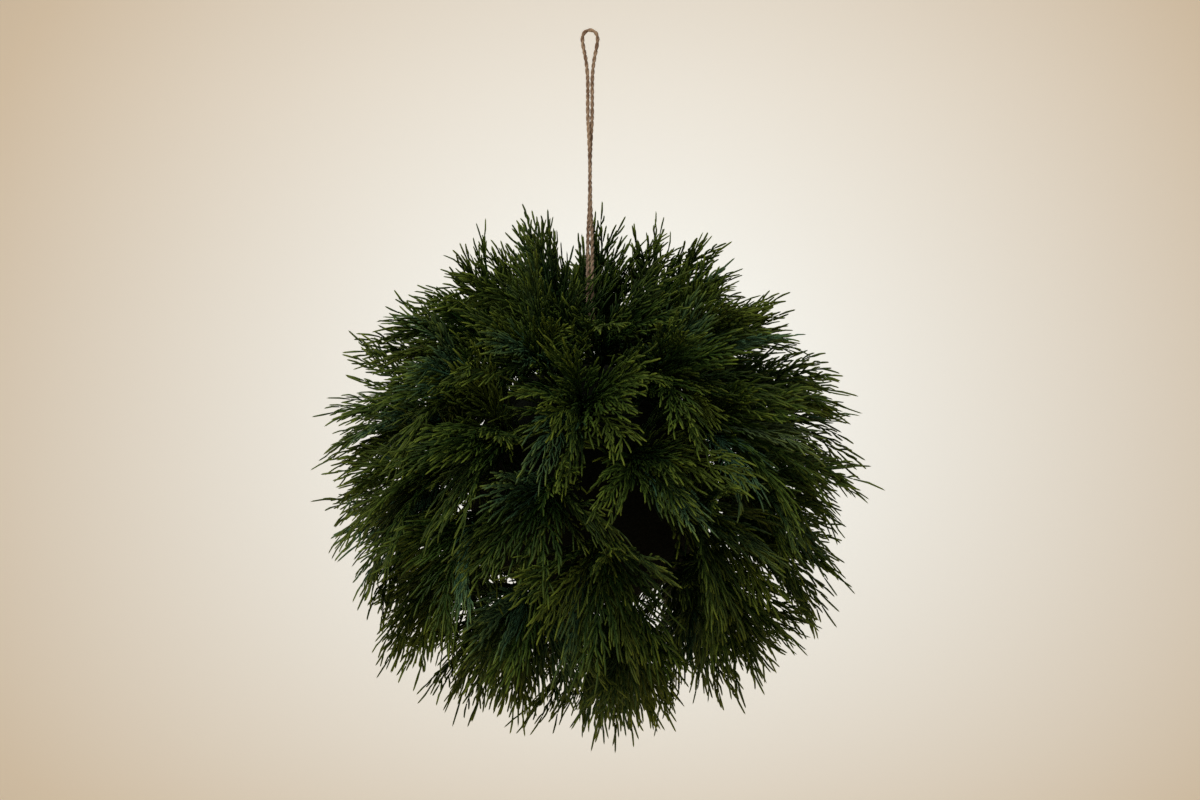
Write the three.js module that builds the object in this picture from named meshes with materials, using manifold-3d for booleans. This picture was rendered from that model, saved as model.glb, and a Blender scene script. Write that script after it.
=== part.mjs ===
// A hanging cedar ball: moulded cedar sprigs pushed into a ball of dark foam, hung on a doubled jute twine.
// Millimetres, +Z up. The origin is where the twine's loop rests on its hook, and the ball hangs below it.
import * as THREE from "three";
import { mergeVertices } from "three/addons/utils/BufferGeometryUtils.js";
import Module from "manifold-3d";

// The ball as a whole
const HOOK_TO_MIDDLE = 275; // from the loop's resting point down to the middle of the ball
const CORE_RADIUS = 75;
const TIP_RADIUS = 166; // where the longest fronds end, from the middle of the ball
const GAP = 0.35; // clearance between pieces that touch

// The sprigs: each is one moulding, a stem that forks into fronds
const SPRIGS = 48;
const FRONDS = 208; // on all the sprigs together
const CLEAR_CAP = 5; // degrees round the twine where nothing is planted
const FIRST_TURN = Math.PI / 2; // the topmost sprig stands behind the twine, clear of the wire's legs
const DROOP = 0.3; // radians that a frond at the waist of the ball has sunk by at its tip
const DROOP_POWER = 1.4; // the droop grows towards the tip
const STEM_FOOT = 52; // the stem's foot and fork, from the middle of the ball
const STEM_FORK = 93;
const STEM_RADIUS = 1.6;
const FORK_RADIUS = 4.6;
const FROND_SHORTER = 16; // the most that a frond falls short of the longest
const HOLLOW_ANGLE = 22; // degrees round the twine where the fronds get shorter
const HOLLOW_DEPTH = 32;
const FROND_WIDTH = 19;
const FROND_THICKNESS = 9;
const SLIVER = 0.05; // thinner faces than this, left where fronds cross, are merged into their neighbours

// The hairpin of wire that carries the ball, bridged over the top of the core and clinched under it
const WIRE_RADIUS = 1;
const PIN_HALF_WIDTH = 7;
const PIN_CORNER = 3;
const PIN_RISE = 10; // from the top of the core to the bridge's centre line
const PIN_FOOT = 9; // length of each clinched end
const PIN_STEPS = 60;

// The twine: one length, doubled, with its ends tied round the bridge
const TWINE_DIAMETER = 2.3;
const LEG_OFFSET = 1.35; // half the distance between the two legs where they lie together
const EYE_RADIUS = 4.6; // of the loop's bend over the hook
const TWINE_STEPS = 76;
const TWINE_SIDES = 8;
const HITCH_LENGTH = 7;
const HITCH_RADIUS = 3.9;

const MIDDLE = new THREE.Vector3(0, 0, -HOOK_TO_MIDDLE);
const BRIDGE_HEIGHT = MIDDLE.z + CORE_RADIUS + PIN_RISE;
const GOLDEN_TURN = Math.PI * (3 - Math.sqrt(5));

const finishes = {
  foam: new THREE.MeshStandardMaterial({ color: "#1d231a", roughness: 0.95, metalness: 0 }),
  cedar: new THREE.MeshStandardMaterial({ color: "#2f4519", roughness: 0.6, metalness: 0 }),
  jute: new THREE.MeshStandardMaterial({ color: "#94775c", roughness: 0.9, metalness: 0 }),
  wire: new THREE.MeshStandardMaterial({ color: "#3c4238", roughness: 0.45, metalness: 0.9 }),
};

const wasm = await Module();
wasm.setup();

// A closed geometry as a manifold-3d solid, and back again.
function solidOf(geometry) {
  const bare = geometry.clone().deleteAttribute("normal").deleteAttribute("uv");
  const merged = mergeVertices(bare, 1e-4);
  return new wasm.Manifold(
    new wasm.Mesh({
      numProp: 3,
      vertProperties: merged.attributes.position.array,
      triVerts: new Uint32Array(merged.index.array),
    }),
  );
}

function geometryOf(solid) {
  const made = solid.getMesh();
  const geometry = new THREE.BufferGeometry();
  geometry.setAttribute("position", new THREE.BufferAttribute(made.vertProperties, 3));
  geometry.setIndex(new THREE.BufferAttribute(made.triVerts, 1));
  return geometry;
}

// A number from 0 to 1 that depends only on a piece's number and on what it is for.
function vary(piece, use) {
  const wave = Math.sin(piece * 12.9898 + use * 78.233) * 43758.5453;
  return wave - Math.floor(wave);
}

function toward(polar, azimuth) {
  return new THREE.Vector3(
    Math.sin(polar) * Math.cos(azimuth),
    Math.sin(polar) * Math.sin(azimuth),
    Math.cos(polar),
  );
}

// How far a frond has sunk towards the bottom of the ball at this radius, as an angle at the waist.
function sinkAt(radius) {
  const way = (radius - CORE_RADIUS) / (TIP_RADIUS - CORE_RADIUS);
  return DROOP * Math.max(way, 0) ** DROOP_POWER;
}

// A direction as it would be with no droop, turned down by the droop at this radius.
function sunk(direction, radius) {
  const polar = Math.acos(THREE.MathUtils.clamp(direction.z, -1, 1));
  const azimuth = Math.atan2(direction.y, direction.x);
  return toward(polar + sinkAt(radius) * Math.sin(polar), azimuth);
}

// Where a frond has to start out for its tip to end up at this polar angle.
function risen(polar) {
  let start = polar;
  for (let i = 0; i < 30; i++) start = polar - sinkAt(TIP_RADIUS) * Math.sin(start);
  return start;
}

// Directions whose sunken tips lie evenly over the ball, in one spiral from the twine down.
function planting(count) {
  const top = Math.cos(THREE.MathUtils.degToRad(CLEAR_CAP));
  return Array.from({ length: count }, (_, i) => {
    const tipPolar = Math.acos(top - ((top + 1) * (i + 0.5)) / count);
    return { tipPolar, direction: toward(risen(tipPolar), FIRST_TURN + i * GOLDEN_TURN) };
  });
}

// A frond ends short of the tip radius by its own amount, and by more where the twine goes in.
function frondEnd(number, tipPolar) {
  const hollow = 1 - THREE.MathUtils.smoothstep(tipPolar, 0, THREE.MathUtils.degToRad(HOLLOW_ANGLE));
  return TIP_RADIUS - FROND_SHORTER * vary(number, 1) - HOLLOW_DEPTH * hollow;
}

// A frond as a flat spindle on a path that leaves the stem's fork and fans out to its own direction.
function frondSolid(stemDirection, frond, number) {
  const end = frondEnd(number, frond.tipPolar);
  const start = STEM_FORK - FORK_RADIUS;
  const along = (way) => {
    const radius = THREE.MathUtils.lerp(start, end, way);
    const spread = stemDirection.clone().lerp(frond.direction, way).normalize();
    return sunk(spread, radius).multiplyScalar(radius);
  };
  const spindle = new THREE.ConeGeometry(1, 1, 4, 3);
  const place = spindle.attributes.position;
  const shares = [0.15, 0.5, 1, 0]; // of the full width, at the fork, at each third of the way and at the tip
  for (let i = 0; i < place.count; i++) {
    const way = place.getY(i) + 0.5;
    const across = Math.hypot(place.getX(i), place.getZ(i)) > 1e-6 ? 1 : 0;
    const turn = Math.atan2(place.getZ(i), place.getX(i));
    const share = across * shares[Math.round(way * 3)];
    const point = along(way);
    const tangent = along(Math.min(way + 0.01, 1)).sub(along(Math.max(way - 0.01, 0))).normalize();
    const wide = new THREE.Vector3().crossVectors(tangent, point).normalize();
    const thick = new THREE.Vector3().crossVectors(wide, tangent);
    point.addScaledVector(wide, (Math.cos(turn) * share * FROND_WIDTH) / 2);
    point.addScaledVector(thick, (Math.sin(turn) * share * FROND_THICKNESS) / 2);
    place.setXYZ(i, point.x, point.y, point.z);
  }
  return solidOf(spindle);
}

// A six-sided rod on a direction from the middle of the ball, between two radii.
function radialRod(direction, from, to, fromRadius, toRadius) {
  const rod = new THREE.CylinderGeometry(toRadius, fromRadius, to - from, 6);
  rod.applyQuaternion(new THREE.Quaternion().setFromUnitVectors(new THREE.Vector3(0, 1, 0), direction));
  const centre = direction.clone().multiplyScalar((from + to) / 2);
  return rod.translate(centre.x, centre.y, centre.z);
}

function sprigGeometry(sprig) {
  const { direction, fronds } = sprig;
  const stem = radialRod(direction, STEM_FOOT, STEM_FORK, STEM_RADIUS, FORK_RADIUS);
  let solid = solidOf(stem);
  for (const { frond, number } of fronds) {
    solid = solid.add(frondSolid(direction, frond, number));
  }
  // The fronds' outer surface alone, so that no small space stays shut in between them.
  const surfaces = solid.decompose();
  const outer = surfaces.reduce((best, one) => (one.volume() > best.volume() ? one : best));
  return geometryOf(outer.simplify(SLIVER));
}

// Each frond grows on the sprig whose stem starts out nearest to it.
function plantedSprigs() {
  const sprigs = planting(SPRIGS).map(({ direction }) => ({ direction, fronds: [] }));
  planting(FRONDS).forEach((frond, number) => {
    const near = (sprig) => sprig.direction.dot(frond.direction);
    const owner = sprigs.reduce((best, sprig) => (near(sprig) > near(best) ? sprig : best));
    owner.fronds.push({ frond, number });
  });
  return sprigs;
}

function round(radius, sides) {
  const section = new THREE.Shape();
  for (let i = 0; i < sides; i++) {
    const turn = (2 * Math.PI * i) / sides;
    const [x, y] = [radius * Math.cos(turn), radius * Math.sin(turn)];
    if (i === 0) section.moveTo(x, y);
    else section.lineTo(x, y);
  }
  return section;
}

function tube(path, radius, sides, steps) {
  return new THREE.ExtrudeGeometry(round(radius, sides), { extrudePath: path, steps, curveSegments: 1 });
}

// The wire runs from one clinched foot up through the core, over the bridge and down to the other foot.
function hairpinGeometry() {
  const [w, c] = [PIN_HALF_WIDTH, PIN_CORNER];
  const top = BRIDGE_HEIGHT;
  const bottom = MIDDLE.z - CORE_RADIUS - PIN_CORNER;
  const at = (x, z) => new THREE.Vector3(x, 0, z);
  const path = new THREE.CurvePath();
  const straight = (a, b) => path.add(new THREE.LineCurve3(a, b));
  const bend = (a, corner, b) => path.add(new THREE.QuadraticBezierCurve3(a, corner, b));
  straight(at(-w - PIN_FOOT, bottom), at(-w - c, bottom));
  bend(at(-w - c, bottom), at(-w, bottom), at(-w, bottom + c));
  straight(at(-w, bottom + c), at(-w, top - c));
  bend(at(-w, top - c), at(-w, top), at(-w + c, top));
  straight(at(-w + c, top), at(w - c, top));
  bend(at(w - c, top), at(w, top), at(w, top - c));
  straight(at(w, top - c), at(w, bottom + c));
  bend(at(w, bottom + c), at(w, bottom), at(w + c, bottom));
  straight(at(w + c, bottom), at(w + PIN_FOOT, bottom));
  return tube(path, WIRE_RADIUS, 6, PIN_STEPS);
}

// The core, with a blind bore for each stem and two through bores for the wire's legs.
function coreGeometry(sprigs) {
  let solid = solidOf(new THREE.IcosahedronGeometry(CORE_RADIUS, 3));
  for (const { direction } of sprigs) {
    const bore = STEM_RADIUS + 2 * GAP;
    const wider = FORK_RADIUS + 2 * GAP;
    solid = solid.subtract(solidOf(radialRod(direction, STEM_FOOT - 1, STEM_FORK, bore, wider)));
  }
  for (const side of [-1, 1]) {
    const bore = new THREE.CylinderGeometry(WIRE_RADIUS + GAP, WIRE_RADIUS + GAP, 2.2 * CORE_RADIUS, 8);
    bore.rotateX(Math.PI / 2).translate(side * PIN_HALF_WIDTH, 0, 0);
    solid = solid.subtract(solidOf(bore));
  }
  return geometryOf(solid);
}

// The turns of the hitch round the bridge, as the one barrel that they fill.
function hitchGeometry() {
  const [inner, outer, half] = [WIRE_RADIUS + GAP, HITCH_RADIUS, HITCH_LENGTH / 2];
  const shoulder = TWINE_DIAMETER / 2;
  const profile = [
    [inner, -half + shoulder],
    [inner + shoulder, -half],
    [outer, -half + shoulder],
    [outer, half - shoulder],
    [inner + shoulder, half],
    [inner, half - shoulder],
    [inner, -half + shoulder],
  ].map(([radius, along]) => new THREE.Vector2(radius, along));
  return new THREE.LatheGeometry(profile, 12).rotateZ(-Math.PI / 2);
}

// Each stop down a leg of the twine: depth under the top of the bend, distance from the hanger's middle
// line, and the turn in degrees that the two legs have made round each other.
const LEG_STOPS = [
  [EYE_RADIUS, EYE_RADIUS, 0],
  [10, 4.1, 0],
  [16, 2.9, 0],
  [23, 1.9, 0],
  [31, LEG_OFFSET, 0],
  [42, LEG_OFFSET, 4],
  [53, LEG_OFFSET, 22],
  [64, LEG_OFFSET, 58],
  [76, LEG_OFFSET, 84],
  [90, LEG_OFFSET, 92],
  [104, LEG_OFFSET, 100],
  [117, LEG_OFFSET, 130],
  [130, LEG_OFFSET, 165],
  [145, LEG_OFFSET, 180],
  [160, LEG_OFFSET, 180],
  [174, LEG_OFFSET, 180],
];

// Down one leg, over the bend and down the other: the legs are opposite each other at every depth.
function twineRoute() {
  const top = TWINE_DIAMETER / 2;
  const foot = top - (BRIDGE_HEIGHT + HITCH_RADIUS + GAP);
  const stops = [...LEG_STOPS, [foot, LEG_OFFSET, 180]];
  const leg = (side) =>
    stops.map(([depth, offset, degrees]) => {
      const turn = THREE.MathUtils.degToRad(degrees);
      return new THREE.Vector3(side * offset * Math.cos(turn), side * offset * Math.sin(turn), top - depth);
    });
  const bend = [45, 90, 135].map((degrees) => {
    const turn = THREE.MathUtils.degToRad(degrees);
    const height = top - EYE_RADIUS + EYE_RADIUS * Math.sin(turn);
    return new THREE.Vector3(-EYE_RADIUS * Math.cos(turn), 0, height);
  });
  return [...leg(-1).reverse(), ...bend, ...leg(1)];
}

function twineGeometry() {
  const path = new THREE.CatmullRomCurve3(twineRoute(), false, "centripetal");
  return tube(path, TWINE_DIAMETER / 2, TWINE_SIDES, TWINE_STEPS);
}

function piece(name, geometry, finish, position = new THREE.Vector3()) {
  const mesh = new THREE.Mesh(geometry, finish);
  mesh.name = name;
  mesh.position.copy(position);
  return mesh;
}

const sprigs = plantedSprigs();
const group = new THREE.Group();
group.add(piece("foam_core", coreGeometry(sprigs), finishes.foam, MIDDLE));
group.add(piece("hanger_pin", hairpinGeometry(), finishes.wire));
group.add(piece("twine_hitch", hitchGeometry(), finishes.jute, new THREE.Vector3(0, 0, BRIDGE_HEIGHT)));
group.add(piece("twine_loop", twineGeometry(), finishes.jute));
sprigs.forEach((sprig, i) => {
  const name = `sprig_${String(i + 1).padStart(2, "0")}`;
  group.add(piece(name, sprigGeometry(sprig), finishes.cedar, MIDDLE));
});

export default group;
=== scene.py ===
"""A hanging cedar ball: moulded sprigs pushed into a ball of dark foam, hung on a doubled jute twine."""

import math
import random

import bpy
import numpy as np
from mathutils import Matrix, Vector


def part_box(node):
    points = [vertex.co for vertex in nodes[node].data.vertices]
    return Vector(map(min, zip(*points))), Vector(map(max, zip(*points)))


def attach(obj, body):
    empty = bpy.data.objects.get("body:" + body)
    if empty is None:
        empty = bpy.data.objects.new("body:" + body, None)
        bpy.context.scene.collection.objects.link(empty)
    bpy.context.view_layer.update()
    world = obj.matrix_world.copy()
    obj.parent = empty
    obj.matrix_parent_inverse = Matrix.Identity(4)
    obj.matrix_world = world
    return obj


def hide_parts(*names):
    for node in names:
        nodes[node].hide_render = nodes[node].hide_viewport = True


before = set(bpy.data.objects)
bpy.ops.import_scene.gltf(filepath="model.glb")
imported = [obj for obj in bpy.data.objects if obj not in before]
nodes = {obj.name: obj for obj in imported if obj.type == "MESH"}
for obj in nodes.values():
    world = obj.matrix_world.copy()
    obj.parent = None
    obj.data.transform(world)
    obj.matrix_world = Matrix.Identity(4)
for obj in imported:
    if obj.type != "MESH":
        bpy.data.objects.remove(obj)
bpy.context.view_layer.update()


# The camera
# A long lens two metres away, level, and aimed a little above the middle of the ball.

camera_data = bpy.data.cameras.new("camera")
camera_data.lens = 98.4
camera_data.sensor_width = 36.0
camera_data.dof.use_dof = False
camera = bpy.data.objects.new("camera", camera_data)
camera.location = (0.0061, -2.0, -0.2244)
camera.rotation_euler = (math.pi / 2, 0.0, 0.0)
bpy.context.scene.collection.objects.link(camera)
bpy.context.scene.camera = camera


# The twine hanger
# One length of two-ply jute twine, doubled: both ends are tied round the wire bridge inside the ball,
# the two legs cross once on the way up, and the bend at the top is the loop that goes over a hook.

TWINE_DIAMETER = 0.0023
EYE_RADIUS = 0.0046


def linear(colour):
    """The linear RGBA of an sRGB colour written as six hexadecimal digits."""
    parts = [int(colour[i : i + 2], 16) / 255 for i in (0, 2, 4)]
    return [c / 12.92 if c <= 0.04045 else ((c + 0.055) / 1.055) ** 2.4 for c in parts] + [1.0]


def add(tree, kind, links=None, **settings):
    """A new node with these settings, its inputs filled with values or joined to other nodes' outputs."""
    made = tree.nodes.new(kind)
    for name, value in settings.items():
        setattr(made, name, value)
    for key, value in (links or {}).items():
        if isinstance(value, bpy.types.NodeSocket):
            tree.links.new(value, made.inputs[key])
        else:
            made.inputs[key].default_value = value
    return made


def new_tree(name, inputs):
    """A Geometry Nodes tree with geometry in and out, and these named inputs: {name: (type, default)}."""
    tree = bpy.data.node_groups.new(name, "GeometryNodeTree")
    tree.interface.new_socket("Geometry", in_out="INPUT", socket_type="NodeSocketGeometry")
    tree.interface.new_socket("Geometry", in_out="OUTPUT", socket_type="NodeSocketGeometry")
    for label, (kind, default) in inputs.items():
        socket = tree.interface.new_socket(label, in_out="INPUT", socket_type="NodeSocket" + kind)
        if default is not None:
            socket.default_value = default
    return tree, tree.nodes.new("NodeGroupInput").outputs, tree.nodes.new("NodeGroupOutput").inputs


def grown(name, mesh, tree, values):
    """The plain mesh object that a tree makes of a mesh, with its named inputs set to these values."""
    seed = bpy.data.objects.new(name + "_seed", mesh)
    bpy.context.scene.collection.objects.link(seed)
    modifier = seed.modifiers.new("grow", "NODES")
    modifier.node_group = tree
    for item in tree.interface.items_tree:
        if item.in_out == "INPUT" and item.name in values:
            modifier[item.identifier] = values[item.name]
    graph = bpy.context.evaluated_depsgraph_get()
    made = bpy.data.meshes.new_from_object(
        seed.evaluated_get(graph), preserve_all_data_layers=True, depsgraph=graph
    )
    bpy.data.objects.remove(seed)
    made.name = name
    piece = bpy.data.objects.new(name, made)
    bpy.context.scene.collection.objects.link(piece)
    return piece


def polyline(name, points):
    """A mesh of nothing but edges through these points."""
    mesh = bpy.data.meshes.new(name)
    mesh.from_pydata([tuple(p) for p in points], [(i, i + 1) for i in range(len(points) - 1)], [])
    return mesh


def smooth_path(stops, step):
    """Points at even steps along a centripetal Catmull-Rom curve through the stops."""
    stops = np.array(stops, float)
    ends = np.vstack([2 * stops[0] - stops[1], stops, 2 * stops[-1] - stops[-2]])
    fine = []
    for i in range(1, len(ends) - 2):
        p = ends[i - 1 : i + 3]
        gaps = [np.linalg.norm(p[k + 1] - p[k]) ** 0.5 for k in range(3)]
        if i == 1:
            gaps[0] = gaps[1]
        if i == len(ends) - 3:
            gaps[2] = gaps[1]
        start = (p[1] - p[0]) / gaps[0] - (p[2] - p[0]) / (gaps[0] + gaps[1]) + (p[2] - p[1]) / gaps[1]
        finish = (p[2] - p[1]) / gaps[1] - (p[3] - p[1]) / (gaps[1] + gaps[2]) + (p[3] - p[2]) / gaps[2]
        start = start * gaps[1]
        finish = finish * gaps[1]
        for t in np.linspace(0, 1, 60, endpoint=False):
            a, b = 2 * t**3 - 3 * t**2 + 1, t**3 - 2 * t**2 + t
            c, d = -2 * t**3 + 3 * t**2, t**3 - t**2
            fine.append(a * p[1] + b * start + c * p[2] + d * finish)
    fine = np.array(fine + [stops[-1]])
    far = np.r_[0, np.cumsum(np.linalg.norm(np.diff(fine, axis=0), axis=1))]
    even = np.linspace(0, far[-1], max(2, round(far[-1] / step) + 1))
    return np.stack([np.interp(even, far, fine[:, k]) for k in range(3)], axis=1)


# Down each leg: depth under the top of the bend and distance from the middle line, in millimetres, and
# the degrees that the legs have turned round each other by.
leg_stops = [
    (4.6, 4.6, 0),
    (10, 4.1, 0),
    (16, 2.9, 0),
    (23, 1.9, 0),
    (31, 1.35, 0),
    (42, 1.35, 4),
    (53, 1.35, 22),
    (64, 1.35, 58),
    (76, 1.35, 84),
    (90, 1.35, 92),
    (104, 1.35, 100),
    (117, 1.35, 130),
    (130, 1.35, 165),
    (145, 1.35, 180),
    (160, 1.35, 180),
    (174, 1.35, 180),
    (186.9, 1.35, 180),
]
twine_top = TWINE_DIAMETER / 2


def twine_leg(side):
    """One leg's points from the bend down: side is -1 for the left leg at the top and 1 for the right."""
    leg = []
    for depth, offset, degrees in leg_stops:
        turn = math.radians(degrees)
        reach = side * offset / 1000
        leg.append((reach * math.cos(turn), reach * math.sin(turn), twine_top - depth / 1000))
    return leg


eye = []
for degrees in (45, 90, 135):
    turn = math.radians(degrees)
    eye.append((-EYE_RADIUS * math.cos(turn), 0.0, twine_top - EYE_RADIUS + EYE_RADIUS * math.sin(turn)))
twine_path = smooth_path(twine_leg(-1)[::-1] + eye + twine_leg(1), 0.001)


def jute_material():
    """Raw jute: dry matt bast fibre, undyed, in uneven browns that run along each ply.

    The patches of colour are about 2.4 mm across and drawn out along the twine, and the fibres are 0.4 mm,
    coarser than real ones so that they show. The grooves between the plies are darkened with painted shade.
    """
    made = bpy.data.materials.new("jute fibre, raw, matt")
    made.use_nodes = True
    tree = made.node_tree
    shader = tree.nodes["Principled BSDF"]
    place = add(tree, "ShaderNodeTexCoord").outputs["Object"]
    long = add(tree, "ShaderNodeMapping", {"Vector": place, "Scale": (1.0, 1.0, 0.3)}).outputs[0]
    coarse = add(tree, "ShaderNodeTexNoise", {"Vector": long, "Scale": 420.0, "Detail": 3.0}).outputs[0]
    fine = add(tree, "ShaderNodeTexNoise", {"Vector": long, "Scale": 2600.0, "Detail": 2.0}).outputs[0]
    groove = add(tree, "ShaderNodeAttribute", attribute_name="groove").outputs["Fac"]
    ramp = add(tree, "ShaderNodeValToRGB", {"Fac": coarse})
    ramp.color_ramp.elements[0].position = 0.34
    ramp.color_ramp.elements[0].color = linear("8a6e59")
    ramp.color_ramp.elements[1].position = 0.68
    ramp.color_ramp.elements[1].color = linear("d0b498")
    fibres = add(tree, "ShaderNodeMapRange", {"Value": fine, "To Min": 0.72, "To Max": 1.22}).outputs[0]
    # Painted shade: the jute is darkened to 0.55 where the plies turn towards each other, in the grooves
    # between them
    shade = add(tree, "ShaderNodeMapRange", {"Value": groove, "To Min": 1.0, "To Max": 0.55}).outputs[0]
    dim = add(tree, "ShaderNodeMath", {0: fibres, 1: shade}, operation="MULTIPLY").outputs[0]
    colour = add(
        tree, "ShaderNodeVectorMath", {0: ramp.outputs[0], "Scale": dim}, operation="SCALE"
    ).outputs[0]
    rough = add(tree, "ShaderNodeMapRange", {"Value": fine, "To Min": 0.78, "To Max": 0.98}).outputs[0]
    bump = add(tree, "ShaderNodeBump", {"Height": fine, "Strength": 0.6, "Distance": 0.0002}).outputs[0]
    tree.links.new(colour, shader.inputs["Base Color"])
    tree.links.new(rough, shader.inputs["Roughness"])
    tree.links.new(bump, shader.inputs["Normal"])
    shader.inputs["Specular IOR Level"].default_value = 0.25
    shader.inputs["Sheen Weight"].default_value = 0.2
    return made


def twine_tree():
    """Two plies laid round the path that comes in, with loose fibres standing off them."""
    tree, given, result = new_tree(
        "two-ply twine",
        {
            "Ply radius": ("Float", 0.00078),
            "Ply offset": ("Float", 0.00046),
            "Turn length": ("Float", 0.008),
            "Fibres": ("Float", 1.0),
            "Seed": ("Int", 5),
            "Jute": ("Material", None),
        },
    )
    curve = add(tree, "GeometryNodeMeshToCurve", {0: given["Geometry"]}).outputs[0]
    along = add(tree, "GeometryNodeSplineParameter").outputs["Length"]
    turns = add(tree, "ShaderNodeMath", {0: along, 1: given["Turn length"]}, operation="DIVIDE").outputs[0]
    sway = add(tree, "ShaderNodeTexNoise", {"Scale": 160.0, "Detail": 1.0}).outputs[0]
    uneven = add(tree, "ShaderNodeMath", {0: sway, 1: 0.5, 2: turns}, operation="MULTIPLY_ADD").outputs[0]
    normal = add(tree, "GeometryNodeInputNormal").outputs[0]
    tangent = add(tree, "GeometryNodeInputTangent").outputs[0]
    across = add(
        tree, "ShaderNodeVectorMath", {0: tangent, 1: normal}, operation="CROSS_PRODUCT"
    ).outputs[0]
    joined = add(tree, "GeometryNodeJoinGeometry")
    for ply in (0, 1):
        phase = add(tree, "ShaderNodeMath", {0: uneven, 1: ply / 2}, operation="ADD").outputs[0]
        angle = add(tree, "ShaderNodeMath", {0: phase, 1: 2 * math.pi}, operation="MULTIPLY").outputs[0]
        cosine = add(tree, "ShaderNodeMath", {0: angle}, operation="COSINE").outputs[0]
        sine = add(tree, "ShaderNodeMath", {0: angle}, operation="SINE").outputs[0]
        one = add(tree, "ShaderNodeVectorMath", {0: normal, "Scale": cosine}, operation="SCALE").outputs[0]
        two = add(tree, "ShaderNodeVectorMath", {0: across, "Scale": sine}, operation="SCALE").outputs[0]
        out = add(tree, "ShaderNodeVectorMath", {0: one, 1: two}, operation="ADD").outputs[0]
        shift = add(
            tree, "ShaderNodeVectorMath", {0: out, "Scale": given["Ply offset"]}, operation="SCALE"
        ).outputs[0]
        inward = add(tree, "ShaderNodeVectorMath", {0: out, "Scale": -1.0}, operation="SCALE").outputs[0]
        marked = add(
            tree,
            "GeometryNodeStoreNamedAttribute",
            {"Geometry": curve, "Name": "inward", "Value": inward},
            data_type="FLOAT_VECTOR",
        ).outputs[0]
        moved = add(tree, "GeometryNodeSetPosition", {"Geometry": marked, "Offset": shift}).outputs[0]
        ring = add(
            tree, "GeometryNodeCurvePrimitiveCircle", {"Resolution": 8, "Radius": given["Ply radius"]}
        ).outputs[0]
        tube = add(
            tree, "GeometryNodeCurveToMesh", {"Curve": moved, "Profile Curve": ring, "Fill Caps": True}
        ).outputs[0]
        tree.links.new(tube, joined.inputs[0])
    # Painted shade: each face is marked by how far it turns towards the other ply, and the jute is darkened
    # there
    inward = add(
        tree, "GeometryNodeInputNamedAttribute", {"Name": "inward"}, data_type="FLOAT_VECTOR"
    ).outputs[0]
    facing = add(
        tree, "ShaderNodeVectorMath", {0: inward, 1: normal}, operation="DOT_PRODUCT"
    ).outputs["Value"]
    groove = add(
        tree, "ShaderNodeMapRange", {"Value": facing, "From Min": -0.1, "From Max": 0.9}
    ).outputs[0]
    shade_marked = add(
        tree,
        "GeometryNodeStoreNamedAttribute",
        {"Geometry": joined.outputs[0], "Name": "groove", "Value": groove},
        data_type="FLOAT",
    ).outputs[0]
    shade_marked = add(tree, "GeometryNodeRemoveAttribute", {"Geometry": shade_marked, "Name": "inward"}).outputs[0]
    lumps = add(tree, "ShaderNodeTexNoise", {"Scale": 900.0, "Detail": 2.0}).outputs[0]
    swell = add(
        tree, "ShaderNodeMapRange", {"Value": lumps, "To Min": -0.00014, "To Max": 0.00014}
    ).outputs[0]
    push = add(tree, "ShaderNodeVectorMath", {0: normal, "Scale": swell}, operation="SCALE").outputs[0]
    lumpy = add(tree, "GeometryNodeSetPosition", {"Geometry": shade_marked, "Offset": push}).outputs[0]

    # Loose fibres: thin curved hairs that lean off the surface and lie mostly along the twine, 26 to each
    # square centimetre
    density = add(
        tree, "ShaderNodeMath", {0: given["Fibres"], 1: 260000.0}, operation="MULTIPLY"
    ).outputs[0]
    scatter = add(
        tree,
        "GeometryNodeDistributePointsOnFaces",
        {"Mesh": lumpy, "Density": density, "Seed": given["Seed"]},
    )
    spread = add(
        tree,
        "FunctionNodeRandomValue",
        {0: (-1.0, -1.0, -1.6), 1: (1.0, 1.0, 1.6), "Seed": given["Seed"]},
        data_type="FLOAT_VECTOR",
    ).outputs[0]
    lean = add(
        tree, "ShaderNodeVectorMath", {0: spread, 1: scatter.outputs["Normal"]}, operation="ADD"
    ).outputs[0]
    aim = add(tree, "FunctionNodeAlignRotationToVector", {"Vector": lean}, axis="Z").outputs[0]
    size = add(
        tree,
        "FunctionNodeRandomValue",
        {0: (0.7, 0.7, 0.5), 1: (1.2, 1.2, 1.6), "Seed": given["Seed"]},
        data_type="FLOAT_VECTOR",
    ).outputs[0]
    hair = add(
        tree,
        "GeometryNodeMeshCone",
        {"Vertices": 3, "Side Segments": 3, "Radius Top": 0.00001, "Radius Bottom": 0.00004, "Depth": 0.0012},
    ).outputs[0]
    where = add(tree, "GeometryNodeInputPosition").outputs[0]
    height = add(tree, "ShaderNodeSeparateXYZ", {0: where}).outputs["Z"]
    squared = add(tree, "ShaderNodeMath", {0: height, 1: height}, operation="MULTIPLY").outputs[0]
    curl = add(tree, "ShaderNodeMath", {0: squared, 1: 260.0}, operation="MULTIPLY").outputs[0]
    aside = add(tree, "ShaderNodeCombineXYZ", {0: curl}).outputs[0]
    curled = add(tree, "GeometryNodeSetPosition", {"Geometry": hair, "Offset": aside}).outputs[0]
    hairs = add(
        tree,
        "GeometryNodeInstanceOnPoints",
        {"Points": scatter.outputs["Points"], "Instance": curled, "Rotation": aim, "Scale": size},
    ).outputs[0]
    loose = add(tree, "GeometryNodeRealizeInstances", {0: hairs}).outputs[0]
    both = add(tree, "GeometryNodeJoinGeometry")
    tree.links.new(loose, both.inputs[0])
    tree.links.new(lumpy, both.inputs[0])
    rounded = add(tree, "GeometryNodeSetShadeSmooth", {0: both.outputs[0]}).outputs[0]
    painted = add(
        tree, "GeometryNodeSetMaterial", {"Geometry": rounded, "Material": given["Jute"]}
    ).outputs[0]
    tree.links.new(painted, result["Geometry"])
    return tree


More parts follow.
